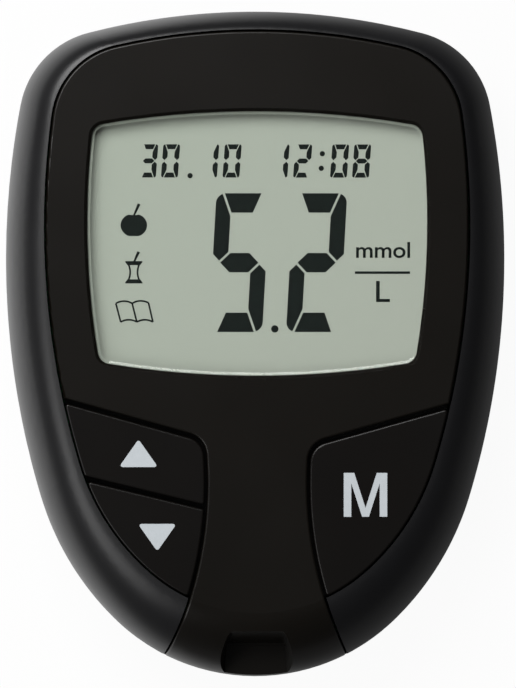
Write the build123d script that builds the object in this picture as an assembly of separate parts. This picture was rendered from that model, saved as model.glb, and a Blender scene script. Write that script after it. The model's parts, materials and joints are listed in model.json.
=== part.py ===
from build123d import *
import math
import os
from dataclasses import dataclass, replace

# Blood glucose meter: a pebble-shaped case with a display, three sprung keys, a test
# strip port in its chin and two coin cells behind a sliding cover.
#
# The meter lies on its back. X points right, Y to the top of the display and Z out of
# the display. The origin is the middle of the footprint, on the surface it lies on.
# All sizes are millimetres and all angles are degrees.

# Case, seen from above
CASE_WIDTH = 57.4
CASE_LENGTH = 76.5
CROWN_RADIUS = 76.5  # the curve across the top end
CORNER_RADIUS = 10.6  # the curve from the top end to each side
FLANK_RADIUS = 94.7  # the curve down each side
CASE_TURNS = (10.8, -16.8, -46.0)  # which way the edge faces at the ends of flank and hip

# Case, seen from the side
CASE_DEPTH = 19.0
PARTING_HEIGHT = 9.6
BASE_INSET = 6.0  # how far the flat base stays inside the outline
BASE_TURN = 76.0  # how far the side turns from upright before it meets the base

# Face plate, seen from above: its distance from the outline, and its own curves
FACE_FROM_TOP = 2.67
FACE_FROM_SIDE = 4.65
FACE_FROM_NOSE = 7.82
FACE_CROWN_RADIUS = 72.2
FACE_CORNER_RADIUS = 9.2
FACE_FLANK_RADIUS = 93.0
FACE_TURNS = (7.8, -16.9, -49.8)

# Walls
FACE_WALL = 1.6
FRAME_WALL = 1.3
REAR_WALL = 2.0
SKIRT_WALL = 1.0
DECK_WALL = 1.2
RIB_WALL = 0.8

# Gaps between pieces
FACE_GROOVE = 0.2  # face plate to side frame
KEY_GAP = 0.3  # key to waist
KEY_RIM_GAP = 0.15  # key to side frame
SHOULDER_GAP = 0.5  # key to shoulder, and key to key
CHIN_GAP = 0.2  # chin to side frame
COVER_GAP = 0.15  # battery cover to rear cover
SNUG = 0.1  # a piece that drops into its seat
EDGE_BREAK = 0.25  # the softened edge of a moulding

# Waist and shoulders: the strip between the keys, and the lines above them
WAIST_WIDTH = 11.3
WAIST_RADIUS = 44.0
SHOULDER_BELOW_WINDOW = 9.3  # where the right shoulder's line crosses the middle line
SHOULDER_STEP = 0.6  # how much higher the left shoulder's line lies
SHOULDER_ANGLE = 15.6
WAIST_BELOW_SHOULDER = 2.9  # to where the waist is narrowest
DIVIDER_BELOW_SHOULDER = 7.7  # the line between the two left keys, below the left shoulder
DIVIDER_ANGLE = 13.6
SHOULDER_RADIUS = 2.6
KEY_CORNER = 0.3

# Keys
KEY_DROP = 0.1  # how far the keys lie below the face plate
KEY_TRAVEL = 0.5
KEY_WALL = 1.2
KEY_SKIRT_DEPTH = 1.25  # how far a key's rim reaches under its plate
STEM_RADIUS = 1.5
LEG_INSET = 2.6  # from a key's edge to its snap legs
LEG_WIDTH = 1.8
LEG_THICKNESS = 0.8
HOOK_DEPTH = 0.45
HOOK_HEIGHT = 0.7
DOME_RADIUS = 3.0
DOME_HEIGHT = 0.6
DOME_SHEET = 0.1

# Display window, and what lies under it
WINDOW_FROM_SIDE = 4.7  # from the face plate's side edges
WINDOW_BELOW_CROWN = 9.1  # from the face plate's top edge
WINDOW_FROM_NOSE = 34.65  # from the tip of the nose
WINDOW_WIDEST = 12.6  # where it is widest, below its own top
WINDOW_CROWN_RADIUS = 106.0
WINDOW_SIDE_RADIUS = 92.0
WINDOW_CORNER = 1.5
WINDOW_BEVEL = 0.35
LENS_LAP = 1.2
LENS_THICKNESS = 0.9  # its flange
LENS_LEDGE = 0.9  # the face plate's thickness over the flange
LENS_DROP = 0.12  # how far the pane lies below the face plate
GASKET_THICKNESS = 0.1
GASKET_SETBACK = 0.3
GLASS_LAP = 0.4  # how far the glass reaches past the window at the sides
GLASS_LAP_BELOW = 0.8
GLASS_LAP_ABOVE = 2.4
GLASS_CORNER = 2.0
GLASS_THICKNESS = 0.7
GLASS_AIR = 0.3  # lens to display
CONTACT_LEDGE = 1.8  # how far the front glass reaches past the rear glass
REFLECTOR_THICKNESS = 0.2
HOLDER_WALL = 0.8
HOLDER_LEDGE = 1.4
ZEBRA_SETBACK = 3.4  # at each end of the contact ledge
ZEBRA_THICKNESS = 1.3

# Test strip port
STRIP_WIDTH = 6.5
STRIP_SLOT_HEIGHT = 1.2
PORT_WIDTH = 6.7  # of the shelf, at its back
PORT_FLARE = 0.4  # how much each side of the shelf opens towards the nose
PORT_DEPTH = 3.6  # of the shelf, from the tip of the nose
PORT_CORNER = 0.3
PORT_RIM_WIDTH = 6.2  # of the recess's upper edge, at its back
PORT_RIM_FLARE = 3.8
PORT_RIM_DEPTH = 5.7
PORT_RIM_CORNER = 0.8
PORT_FLOOR = 12.0
PORT_WALL = 1.2
CONNECTOR_LENGTH = 7.4
CONNECTOR_SIDE = 1.2
FINGER_COUNT = 5
FINGER_PITCH = 1.2
FINGER_WIDTH = 0.6
FINGER_FOOT = 1.0

# Main board
BOARD_THICKNESS = 1.0
BOARD_GAP = 0.4

# Coin cells, size 2032
CELL_DIAMETER = 20.0
CELL_HEIGHT = 3.2
CELL_CAP_DIAMETER = 17.6
CELL_CAP_HEIGHT = 0.35
CELL_ROOM = 0.2  # round each cell
CELL_BELOW_TOP = 22.75  # from the top end of the case
CUP_GAP = 0.4  # between the two cells' cups
CUP_WALL = 1.0
CUP_ROOM = 0.8  # above the cells, for their contacts
CONTACT_SHEET = 0.2
CONTACT_WIDTH = 3.0
CONTACT_FOOT = 2.0  # the flat end of a cell contact

# Battery cover
COVER_LAP = 0.8  # how far it reaches past the cups
COVER_FLANGE = 1.4
FLANGE_THICKNESS = 0.8
GRIP_COUNT = 6
GRIP_PITCH = 1.7
GRIP_LENGTH = 13.0
GRIP_WIDTH = 0.8
GRIP_DEPTH = 0.4
GRIP_FROM_EDGE = 6.0

# Joining the halves
TONGUE_HEIGHT = 1.0
EAR_THICKNESS = 1.0
SCREW_LENGTH = 8.0
SCREW_RADIUS = 0.9
SCREW_HEAD_RADIUS = 1.7
SCREW_HEAD_HEIGHT = 1.2
SCREW_CLEARANCE = 0.2
PILOT_CLEARANCE = 0.02
BOSS_RADIUS = 2.0
SINK_WALL = 0.8
TOP_SCREW_X = 8.0
TOP_SCREW_BELOW_TOP = 5.75
LOW_SCREW_X = 9.3
LOW_SCREW_ABOVE_NOSE = 12.25
BOARD_SCREW_X = 3.4
BOARD_SCREW_ABOVE_SHOULDER = 1.6
BOARD_SCREW_LENGTH = 4.0
BOARD_HEAD_HEIGHT = 0.9

# Data jack, for a 2.5 mm plug
JACK_BELOW_BAY = 10.5
JACK_BORE_RADIUS = 1.3
JACK_BORE_DEPTH = 11.0
JACK_LENGTH = 8.7
JACK_FROM_SIDE = 6.8
JACK_WIDTH = 5.2
JACK_HEIGHT = 4.6
JACK_COLLAR_RADIUS = 2.2
JACK_COLLAR_LENGTH = 3.3
TAIL_COUNT = 3
TAIL_PITCH = 1.7
TAIL_WIDTH = 0.8
TAIL_LENGTH = 1.2

# Parts soldered to the board
CHIP_SIZE = 10.0
CHIP_HEIGHT = 1.4
CHIP_CORNER = 0.4
CHIP_LEADS = 11
CHIP_LEAD_PITCH = 0.8
CHIP_BELOW_BAY = 4.9
AMPLIFIER_SIZE = 3.0
AMPLIFIER_HEIGHT = 0.9
AMPLIFIER_X = 7.2
AMPLIFIER_PAST_CONNECTOR = 7.5
CRYSTAL_LENGTH = 6.2
CRYSTAL_RADIUS = 1.05
CRYSTAL_SPOT = (-8.0, -17.5)  # these places are from the middle of the bay's front wall
BUZZER_RADIUS = 4.5
BUZZER_HEIGHT = 2.6
BUZZER_HOLE_RADIUS = 1.1
BUZZER_HOLE_DEPTH = 1.3
BUZZER_SPOT = (13.5, -11.0)
SENSOR_SPOT = (7.5, -23.0)
SENSOR_SIZE = (1.6, 0.8, 0.6)
PASSIVE_SIZE = (1.0, 0.5, 0.5)
PASSIVE_PITCH = 2.2
PASSIVE_ROWS = 3
PASSIVE_COLUMNS = 4
PASSIVE_SPOT = (-10.0, -22.5)

LOFT_STEPS = 5
BEYOND = 60.0  # for cutting shapes that reach past the whole case


@dataclass
class Oval:
    """An outline of eight tangent arcs: a crown, and on each side a corner, a flank and a
    hip, which meet in the nose. The crown's width, the hip and the nose fit the rest."""

    width: float
    top: float
    nose: float
    crown_radius: float
    corner_radius: float
    flank_radius: float
    turns: tuple

    def inset(self, distance):
        """The same outline, this much further in all round."""
        return replace(
            self,
            width=self.width - 2 * distance,
            top=self.top - distance,
            nose=self.nose + distance,
            crown_radius=self.crown_radius - distance,
            corner_radius=self.corner_radius - distance,
            flank_radius=self.flank_radius - distance,
        )

    def toward(self, other, share):
        """An outline part of the way from this one to another."""

        def mix(own, others):
            return own + (others - own) * share

        return Oval(
            mix(self.width, other.width),
            mix(self.top, other.top),
            mix(self.nose, other.nose),
            mix(self.crown_radius, other.crown_radius),
            mix(self.corner_radius, other.corner_radius),
            mix(self.flank_radius, other.flank_radius),
            tuple(mix(own, others) for own, others in zip(self.turns, other.turns)),
        )

    def normals(self):
        """The directions that the right half faces where its arcs join, crown to nose."""
        turns = [math.radians(turn) for turn in self.turns]
        flank_top = math.cos(turns[0])
        across = self.width / 2 - self.flank_radius * (1 - flank_top)
        across -= self.corner_radius * flank_top
        crown_end = math.acos(across / (self.crown_radius - self.corner_radius))
        return [math.pi / 2, crown_end, *turns, -math.pi / 2]

    def radii(self):
        """The radii of crown, corner, flank, hip and nose."""
        cos = [math.cos(normal) for normal in self.normals()]
        sin = [math.sin(normal) for normal in self.normals()]
        crown = self.crown_radius
        corner = self.corner_radius
        flank = self.flank_radius
        known = ((crown, 1), (corner, 2), (flank, 3))
        reach_x = sum(radius * (cos[i] - cos[i - 1]) for radius, i in known)
        reach_y = sum(radius * (sin[i] - sin[i - 1]) for radius, i in known)
        left_x = -reach_x
        left_y = self.nose - self.top - reach_y
        hip_x, nose_x = cos[4] - cos[3], cos[5] - cos[4]
        hip_y, nose_y = sin[4] - sin[3], sin[5] - sin[4]
        scale = hip_x * nose_y - nose_x * hip_y
        hip = (left_x * nose_y - nose_x * left_y) / scale
        nose = (hip_x * left_y - left_x * hip_y) / scale
        return crown, corner, flank, hip, nose

    def face(self):
        """The outline as a flat face."""
        normals = self.normals()
        joints = [Vector(0, self.top)]
        middles = []
        for radius, start, end in zip(self.radii(), normals, normals[1:]):
            here = joints[-1] - Vector(math.cos(start), math.sin(start)) * radius
            half = (start + end) / 2
            middles.append(here + Vector(math.cos(half), math.sin(half)) * radius)
            joints.append(here + Vector(math.cos(end), math.sin(end)) * radius)

        def left(point):
            return Vector(-point.X, point.Y)

        edges = [ThreePointArc(left(joints[1]), joints[0], joints[1])]
        for i in (1, 2, 3):
            edges.append(ThreePointArc(joints[i], middles[i], joints[i + 1]))
        edges.append(ThreePointArc(joints[4], Vector(0, self.nose), left(joints[4])))
        for i in (3, 2, 1):
            edges.append(ThreePointArc(left(joints[i + 1]), left(middles[i]), left(joints[i])))
        return make_face(edges)


CASE = Oval(
    CASE_WIDTH,
    CASE_LENGTH / 2,
    -CASE_LENGTH / 2,
    CROWN_RADIUS,
    CORNER_RADIUS,
    FLANK_RADIUS,
    CASE_TURNS,
)
FACE = Oval(
    CASE_WIDTH - 2 * FACE_FROM_SIDE,
    CASE_LENGTH / 2 - FACE_FROM_TOP,
    FACE_FROM_NOSE - CASE_LENGTH / 2,
    FACE_CROWN_RADIUS,
    FACE_CORNER_RADIUS,
    FACE_FLANK_RADIUS,
    FACE_TURNS,
)

# Places along the meter, and across it
WINDOW_WIDTH = FACE.width - 2 * WINDOW_FROM_SIDE
WINDOW_TOP = FACE.top - WINDOW_BELOW_CROWN
WINDOW_BOTTOM = CASE.nose + WINDOW_FROM_NOSE
SHOULDER_Y = WINDOW_BOTTOM - SHOULDER_BELOW_WINDOW
LEFT_SHOULDER_Y = SHOULDER_Y + SHOULDER_STEP
WAIST_Y = SHOULDER_Y - WAIST_BELOW_SHOULDER
DIVIDER_Y = LEFT_SHOULDER_Y - DIVIDER_BELOW_SHOULDER
GLASS_TOP = WINDOW_TOP + GLASS_LAP_ABOVE
GLASS_BOTTOM = WINDOW_BOTTOM - GLASS_LAP_BELOW
PORT_BACK_Y = CASE.nose + PORT_DEPTH
PORT_RIM_Y = CASE.nose + PORT_RIM_DEPTH
CONNECTOR_MOUTH = PORT_RIM_Y + SNUG
CUP_RADIUS = CELL_DIAMETER / 2 + CELL_ROOM
CELL_Y = CASE.top - CELL_BELOW_TOP
CELL_X = CUP_RADIUS + CUP_GAP / 2
COVER_REACH = CUP_RADIUS + CUP_WALL + COVER_LAP
COVER_FRONT_Y = CELL_Y - COVER_REACH
COVER_STEP_Y = CELL_Y + COVER_REACH - CUP_WALL
COVER_HALF = CELL_X + CUP_RADIUS + COVER_LAP + SNUG
BAY_FRONT_Y = COVER_FRONT_Y - CUP_WALL
JACK_Y = BAY_FRONT_Y - JACK_BELOW_BAY
JACK_FACE = JACK_FROM_SIDE - CASE_WIDTH / 2

# Heights, from the surface that the meter lies on
FACE_UNDERSIDE = CASE_DEPTH - FACE_WALL
BOARD_TOP = PARTING_HEIGHT
BOARD_UNDERSIDE = BOARD_TOP - BOARD_THICKNESS
EAR_TOP = BOARD_TOP + EAR_THICKNESS
SKIRT_FOOT = PARTING_HEIGHT + TONGUE_HEIGHT + 2 * SNUG
LENS_TOP = CASE_DEPTH - LENS_LEDGE - GASKET_THICKNESS
LENS_UNDERSIDE = LENS_TOP - LENS_THICKNESS
GLASS_FRONT = LENS_UNDERSIDE - GLASS_AIR
GLASS_MEETING = GLASS_FRONT - GLASS_THICKNESS
GLASS_REAR = GLASS_MEETING - GLASS_THICKNESS
REFLECTOR_REAR = GLASS_REAR - REFLECTOR_THICKNESS
STEM_FOOT = BOARD_TOP + DOME_HEIGHT + PILOT_CLEARANCE
KEY_TOP = CASE_DEPTH - KEY_DROP
KEY_UNDERSIDE = KEY_TOP - KEY_WALL
KEY_SKIRT_FOOT = KEY_UNDERSIDE - KEY_SKIRT_DEPTH
DECK_TOP = KEY_SKIRT_FOOT - KEY_TRAVEL - SNUG
DECK_UNDERSIDE = DECK_TOP - DECK_WALL
CELL_FLOOR = REAR_WALL + SNUG
CELL_TOP = CELL_FLOOR + CELL_HEIGHT
BAY_CEILING = CELL_TOP + CUP_ROOM
BAY_ROOF = BAY_CEILING + CUP_WALL
FLANGE_FOOT = REAR_WALL + SNUG / 2
FLANGE_TOP = FLANGE_FOOT + FLANGE_THICKNESS
CASE_SCREW_SEAT = BAY_CEILING

TOP_SCREWS = [(side * TOP_SCREW_X, CASE.top - TOP_SCREW_BELOW_TOP) for side in (-1, 1)]
LOW_SCREWS = [(side * LOW_SCREW_X, CASE.nose + LOW_SCREW_ABOVE_NOSE) for side in (-1, 1)]
CASE_SCREWS = TOP_SCREWS + LOW_SCREWS
BOARD_SCREWS = [(side * BOARD_SCREW_X, SHOULDER_Y + BOARD_SCREW_ABOVE_SHOULDER) for side in (-1, 1)]
CELLS = [(side * CELL_X, CELL_Y) for side in (-1, 1)]
KEY_SIDES = {"up": -1, "down": -1, "memory": 1}


def slab(face, low, high):
    """A flat face made solid between two heights."""
    return Pos(0, 0, low) * extrude(face, high - low)


def block(x, y, z):
    """A box between pairs of coordinates."""
    size = [high - low for low, high in (x, y, z)]
    middle = [(high + low) / 2 for low, high in (x, y, z)]
    return Pos(*middle) * Box(*size)


def post(spot, radius, low, high):
    """An upright cylinder at a spot, between two heights."""
    return Pos(spot[0], spot[1], low) * extrude(Circle(radius), high - low)


def pebble_front(wall):
    """The case's front half, from its parting line to its face, kept a wall inside."""
    rise = CASE_DEPTH - wall - PARTING_HEIGHT
    sections = []
    for step in range(LOFT_STEPS + 1):
        turn = math.radians(90 * step / LOFT_STEPS)
        outline = CASE.toward(FACE, 1 - math.cos(turn)).inset(wall)
        sections.append(Pos(0, 0, PARTING_HEIGHT + rise * math.sin(turn)) * outline.face())
    return loft(sections)


def pebble_rear(wall):
    """The case's rear half, from its parting line to its flat base, kept a wall inside."""
    last = math.radians(BASE_TURN)
    drop = (PARTING_HEIGHT - wall) / math.sin(last)
    inward = BASE_INSET / (1 - math.cos(last))
    sections = []
    for step in range(LOFT_STEPS + 1):
        turn = last * step / LOFT_STEPS
        outline = CASE.inset(wall + inward * (1 - math.cos(turn)))
        sections.append(Pos(0, 0, PARTING_HEIGHT - drop * math.sin(turn)) * outline.face())
    return loft(sections)


def below_line(y, angle):
    """The half plane under a sloping line that crosses the middle at this height."""
    reach = 2 * BEYOND
    return Pos(0, y) * Rot(0, 0, angle) * Rectangle(reach, reach, align=(Align.CENTER, Align.MAX))


def waist_side(side, gap=0.0):
    """The round area beside the waist, on one side, kept a gap away from it."""
    return Pos(side * (WAIST_WIDTH / 2 + WAIST_RADIUS), WAIST_Y) * Circle(WAIST_RADIUS - gap)


def chin_area(gap=0.0):
    """The area of the chin, between the lines that carry on from the waist."""
    area = Pos(0, FACE.nose) * Rectangle(2 * BEYOND, BEYOND)
    return area - waist_side(-1, gap) - waist_side(1, gap)


def round_corner(face, near, radius):
    """Round the one corner of a face that lies nearest to a spot."""
    corner = face.vertices().sort_by_distance(Vector(*near))[0]
    return fillet(corner, radius)


def key_field(side, waist_gap, shoulder_gap, frame_gap):
    """The area that one side's keys share, with its corner by the waist rounded."""
    edge = FACE.inset(frame_gap - FACE_GROOVE)
    line_y = SHOULDER_Y if side > 0 else LEFT_SHOULDER_Y
    shoulder = below_line(line_y - shoulder_gap, side * SHOULDER_ANGLE)
    field = edge.face() & waist_side(side, waist_gap) & shoulder
    inner_corner = (side * WAIST_WIDTH / 2, line_y)
    return round_corner(field, inner_corner, SHOULDER_RADIUS - waist_gap)


# --- Case -------------------------------------------------------------------------------


def window(grow=0.0):
    """The display window's barrel outline, grown all round."""
    crown = WINDOW_CROWN_RADIUS
    side = WINDOW_SIDE_RADIUS
    reach = side - WINDOW_WIDTH / 2
    outline = Pos(0, WINDOW_TOP - crown) * Circle(crown + grow)
    outline &= Pos(0, WINDOW_BOTTOM + crown) * Circle(crown + grow)
    for x in (-reach, reach):
        outline &= Pos(x, WINDOW_TOP - WINDOW_WIDEST) * Circle(side + grow)
    return fillet(outline.vertices(), WINDOW_CORNER + grow)


def window_opening():
    """The opening in the face plate, its upper edge bevelled, with the seat for the lens."""
    opening = slab(window(), DECK_TOP, CASE_DEPTH)
    low = Pos(0, 0, CASE_DEPTH - WINDOW_BEVEL) * window()
    high = Pos(0, 0, CASE_DEPTH) * window(WINDOW_BEVEL)
    seat = slab(window(LENS_LAP + SNUG), DECK_TOP, CASE_DEPTH - LENS_LEDGE)
    return opening + loft([low, high]) + seat


def port_outline(width, flare, back, corner):
    """The strip recess from above at one height: open past the nose, flaring towards it,
    with its two back corners rounded."""
    front = CASE.nose - PORT_WALL
    half = width / 2
    corners = [(half, back), (half + flare, front), (-half - flare, front), (-half, back)]
    face = make_face(Polyline(*corners, close=True))
    return fillet(face.vertices().sort_by(Axis.Y)[-2:], corner)


def port_recess(grow=0.0):
    """The recess over the strip shelf, whose walls lean out to a wider upper edge. Grown
    by a distance, it is the recess with its walls and floor."""
    wider = 2 * grow
    shelf = port_outline(PORT_WIDTH + wider, PORT_FLARE, PORT_BACK_Y + grow, PORT_CORNER + grow)
    rim = port_outline(
        PORT_RIM_WIDTH + wider, PORT_RIM_FLARE, PORT_RIM_Y + grow, PORT_RIM_CORNER + grow
    )
    return loft([Pos(0, 0, PORT_FLOOR - grow) * shelf, Pos(0, 0, CASE_DEPTH) * rim])


def strip_slot(y):
    """The flat passage that a test strip slides into, over a range of Y."""
    half = STRIP_WIDTH / 2 + 2 * SNUG
    low = PORT_FLOOR + SNUG
    return block((-half, half), y, (low, low + STRIP_SLOT_HEIGHT))


def screw_boss(spot, foot, top, tip):
    """A boss on a spot, from its foot to its top, with a pilot hole as deep as a tip."""
    boss = post(spot, BOSS_RADIUS, foot, top)
    hole = post(spot, SCREW_RADIUS + PILOT_CLEARANCE, foot, tip)
    return boss, hole


def front_housing():
    """Face plate, waist and chin in one moulding, with the deck that guides the keys."""
    skirt = slab(FACE.face(), SKIRT_FOOT, CASE_DEPTH)
    skirt -= slab(FACE.inset(SKIRT_WALL).face(), SKIRT_FOOT, FACE_UNDERSIDE)
    inner = pebble_front(FRAME_WALL)
    inner -= port_recess(PORT_WALL)
    chin = (pebble_front(0) - inner) & slab(chin_area(), PARTING_HEIGHT, CASE_DEPTH)
    housing = skirt + chin
    housing -= slab(chin_area(-SKIRT_WALL), PARTING_HEIGHT, FACE_UNDERSIDE) & inner
    for side in (-1, 1):
        well = key_field(side, -DECK_WALL, -DECK_WALL, 0) & FACE.face()
        housing += slab(well, DECK_UNDERSIDE, FACE_UNDERSIDE)
        housing -= slab(key_field(side, 0, 0, 0), DECK_TOP, BEYOND)
    holes = window_opening() + port_recess()
    holes += strip_slot((PORT_BACK_Y - SNUG, CONNECTOR_MOUTH))
    tip = CASE_SCREW_SEAT + SCREW_LENGTH
    for spots, foot, top, end in (
        (TOP_SCREWS, EAR_TOP, FACE_UNDERSIDE, tip),
        (LOW_SCREWS, EAR_TOP, DECK_TOP, tip),
        (BOARD_SCREWS, BOARD_TOP, FACE_UNDERSIDE, BOARD_UNDERSIDE + BOARD_SCREW_LENGTH),
    ):
        for spot in spots:
            boss, hole = screw_boss(spot, foot, top, end + SNUG)
            housing += boss
            holes += hole
    for name in KEY_SIDES:
        holes += post(key_middle(name), STEM_RADIUS + KEY_GAP, DECK_UNDERSIDE, DECK_TOP)
        for place in leg_places(name):
            holes += place * leg_slot()
    housing -= holes
    edge = housing.faces().sort_by(Axis.Z)[-1].outer_wire().edges().sort_by(Axis.Y)
    return fillet(edge[1:], EDGE_BREAK)


def ear(spot, grow=0.0):
    """The area of a lug that reaches from the side frame's wall to a case screw."""
    x, y = spot
    away = math.degrees(math.atan2(y, x))
    width = 2 * (BOSS_RADIUS + grow)
    arm = Pos(x, y) * Rot(0, 0, away) * Rectangle(BEYOND, width, align=(Align.MIN, Align.CENTER))
    area = arm + Pos(x, y) * Circle(BOSS_RADIUS + grow)
    return area & CASE.inset(FRAME_WALL / 2).face()


def side_frame():
    """The rounded rim round the face plate, with lugs that the case screws clamp."""
    frame = pebble_front(0) - pebble_front(FRAME_WALL)
    frame -= slab(FACE.inset(-FACE_GROOVE).face(), PARTING_HEIGHT, BEYOND)
    frame -= slab(chin_area(CHIN_GAP), 0, BEYOND)
    for spot in CASE_SCREWS:
        frame += slab(ear(spot), PARTING_HEIGHT, EAR_TOP)
    for spot in CASE_SCREWS:
        frame -= post(spot, SCREW_RADIUS + SCREW_CLEARANCE, PARTING_HEIGHT, EAR_TOP)
    return frame


def cover_region(gap=0.0):
    """The space that belongs to the battery cover, kept a gap inside its opening."""
    half = COVER_HALF - gap
    top = BAY_CEILING - gap
    body = block((-half, half), (COVER_FRONT_Y + gap, BEYOND), (0, top))
    return body + block((-BEYOND, BEYOND), (COVER_STEP_Y + gap, BEYOND), (0, top))


def flange_space(side, room):
    """Where one of the battery cover's flanges runs, with room all round it."""
    edge = side * COVER_HALF
    x = sorted((edge - side * (RIB_WALL + room), edge + side * (COVER_FLANGE + room)))
    return block(x, (COVER_FRONT_Y, COVER_STEP_Y), (FLANGE_FOOT - room, FLANGE_TOP + room))


def rear_cover():
    """The back shell, with the cell bay, rails for the battery cover, bosses and tongue."""
    pebble = pebble_rear(0)
    cover = pebble - pebble_rear(REAR_WALL) - cover_region()
    bay_foot = FLANGE_TOP + 2 * SNUG
    bay = block((-BEYOND, BEYOND), (COVER_FRONT_Y, BEYOND), (BAY_CEILING, BAY_ROOF))
    bay += block((-BEYOND, BEYOND), (BAY_FRONT_Y, COVER_FRONT_Y), (0, BAY_ROOF))
    for spot in CELLS:
        bay += post(spot, CUP_RADIUS + CUP_WALL, bay_foot, BAY_CEILING)
    for side in (-1, 1):
        rail_x = sorted((side * COVER_HALF, side * BEYOND))
        bay += block(rail_x, (COVER_FRONT_Y, COVER_STEP_Y), (FLANGE_TOP, BAY_CEILING))
    cover += bay & pebble
    for spot in CELLS:
        cover -= post(spot, CUP_RADIUS, 0, BAY_CEILING)
        cover -= contact_slots(spot)
    for side in (-1, 1):
        cover -= flange_space(side, SNUG)
    tongue = CASE.inset(FRAME_WALL + SNUG).face() - CASE.inset(REAR_WALL).face()
    tongue -= chin_area(CHIN_GAP)
    for spot in CASE_SCREWS:
        tongue -= ear(spot, 2 * SNUG)
    cover += slab(tongue, PARTING_HEIGHT, PARTING_HEIGHT + TONGUE_HEIGHT)
    sink = SCREW_HEAD_RADIUS + SCREW_CLEARANCE
    for spot in LOW_SCREWS:
        cover += post(spot, sink + SINK_WALL, 0, CASE_SCREW_SEAT + SINK_WALL)
    for spot in CASE_SCREWS:
        cover += post(spot, BOSS_RADIUS, BAY_CEILING, BOARD_UNDERSIDE)
        cover -= post(spot, SCREW_RADIUS + SCREW_CLEARANCE, BAY_CEILING, BOARD_UNDERSIDE)
    for spot in LOW_SCREWS:
        cover -= post(spot, sink, 0, CASE_SCREW_SEAT)
    return cover - jack_tube(JACK_COLLAR_RADIUS + SNUG, -BEYOND, JACK_FACE - SNUG)


def battery_cover():
    """The sliding cover over the cells, with side flanges and a ribbed thumb grip."""
    cover = (pebble_rear(0) - pebble_rear(REAR_WALL)) & cover_region(COVER_GAP)
    run = (COVER_FRONT_Y + COVER_GAP, COVER_STEP_Y - COVER_GAP)
    for side in (-1, 1):
        flange = flange_space(side, 0) & block((-BEYOND, BEYOND), run, (0, BEYOND))
        root_x = sorted((side * (COVER_HALF - RIB_WALL), side * (COVER_HALF - COVER_GAP)))
        cover += flange + block(root_x, run, (REAR_WALL / 2, FLANGE_TOP))
    for i in range(GRIP_COUNT):
        y = COVER_FRONT_Y + GRIP_FROM_EDGE + i * GRIP_PITCH
        cover -= slab(Pos(0, y) * SlotOverall(GRIP_LENGTH, GRIP_WIDTH), 0, GRIP_DEPTH)
    return cover


# --- Keys -------------------------------------------------------------------------------


def key_outline(name):
    """A key's outline from above, its corners softened."""
    outline = key_field(KEY_SIDES[name], KEY_GAP, SHOULDER_GAP, KEY_RIM_GAP)
    if name == "up":
        outline -= below_line(DIVIDER_Y + SHOULDER_GAP / 2, -DIVIDER_ANGLE)
    if name == "down":
        outline &= below_line(DIVIDER_Y - SHOULDER_GAP / 2, -DIVIDER_ANGLE)
    return offset(offset(outline, -KEY_CORNER), KEY_CORNER)


def key_middle(name):
    """The middle of a key, where its stem stands over its dome."""
    middle = key_outline(name).center()
    return middle.X, middle.Y


def key_frame(name, turn=0.0):
    """A key's own frame: at its middle, with X square to the case's edge beside it."""
    return Pos(*key_middle(name)) * Rot(0, 0, turn - KEY_SIDES[name] * SHOULDER_ANGLE)


def leg_places(name):
    """The places of a key's two snap legs, each facing the key's edge beyond it."""
    places = []
    for turn in (0, 180):
        frame = key_frame(name, turn)
        ray = frame * Line((0, 0), (BEYOND, 0))
        reach = (key_outline(name) & ray).edges()[0].length
        places.append(frame * Pos(reach - LEG_INSET, 0))
    return places


def snap_leg():
    """A leg with a hook that catches under the deck and keeps the key from falling out."""
    back = -LEG_THICKNESS / 2
    front = LEG_THICKNESS / 2
    catch = DECK_UNDERSIDE - PILOT_CLEARANCE
    profile = Polyline(
        (back, KEY_UNDERSIDE),
        (front, KEY_UNDERSIDE),
        (front, catch),
        (front + HOOK_DEPTH, catch),
        (front, catch - HOOK_HEIGHT),
        (back, catch - HOOK_HEIGHT),
        close=True,
    )
    return extrude(Plane.XZ * make_face(profile), LEG_WIDTH / 2, both=True)


def leg_slot():
    """The hole in the deck that a leg and its hook pass through."""
    x = (-LEG_THICKNESS / 2 - SNUG, LEG_THICKNESS / 2 + HOOK_DEPTH + SNUG)
    half = LEG_WIDTH / 2 + SNUG
    return block(x, (-half, half), (DECK_UNDERSIDE, DECK_TOP))


def key(name):
    """A hollow key cap with a stem over its dome, two stiffening ribs and two legs."""
    outline = key_outline(name)
    cap = slab(outline, KEY_SKIRT_FOOT, KEY_TOP)
    cap = fillet(cap.edges().group_by(Axis.Z)[-1], EDGE_BREAK)
    cap -= slab(offset(outline, -SKIRT_WALL), KEY_SKIRT_FOOT, KEY_UNDERSIDE)
    ribs = Rectangle(BEYOND, RIB_WALL) + Rectangle(RIB_WALL, BEYOND)
    cap += slab((key_frame(name) * ribs) & outline, KEY_SKIRT_FOOT, KEY_UNDERSIDE)
    cap += post(key_middle(name), STEM_RADIUS, STEM_FOOT, KEY_UNDERSIDE)
    for place in leg_places(name):
        cap += place * snap_leg()
    return cap


def snap_dome(name):
    """The sprung metal dome that a key's stem presses onto the board."""
    spot = key_middle(name)
    radius = (DOME_RADIUS**2 + DOME_HEIGHT**2) / (2 * DOME_HEIGHT)
    ball = Pos(spot[0], spot[1], BOARD_TOP + DOME_HEIGHT - radius)
    dome = ball * Sphere(radius) - ball * Sphere(radius - DOME_SHEET)
    return dome & post(spot, DOME_RADIUS, BOARD_TOP, BOARD_TOP + DOME_HEIGHT)


# --- Display ----------------------------------------------------------------------------


def display_lens():
    """The clear window: a pane that fills the opening, on a flange glued in from behind."""
    pane = slab(window(-SNUG), LENS_TOP, CASE_DEPTH - LENS_DROP)
    pane = chamfer(pane.edges().group_by(Axis.Z)[-1], EDGE_BREAK)
    return pane + slab(window(LENS_LAP), LENS_UNDERSIDE, LENS_TOP)


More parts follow.
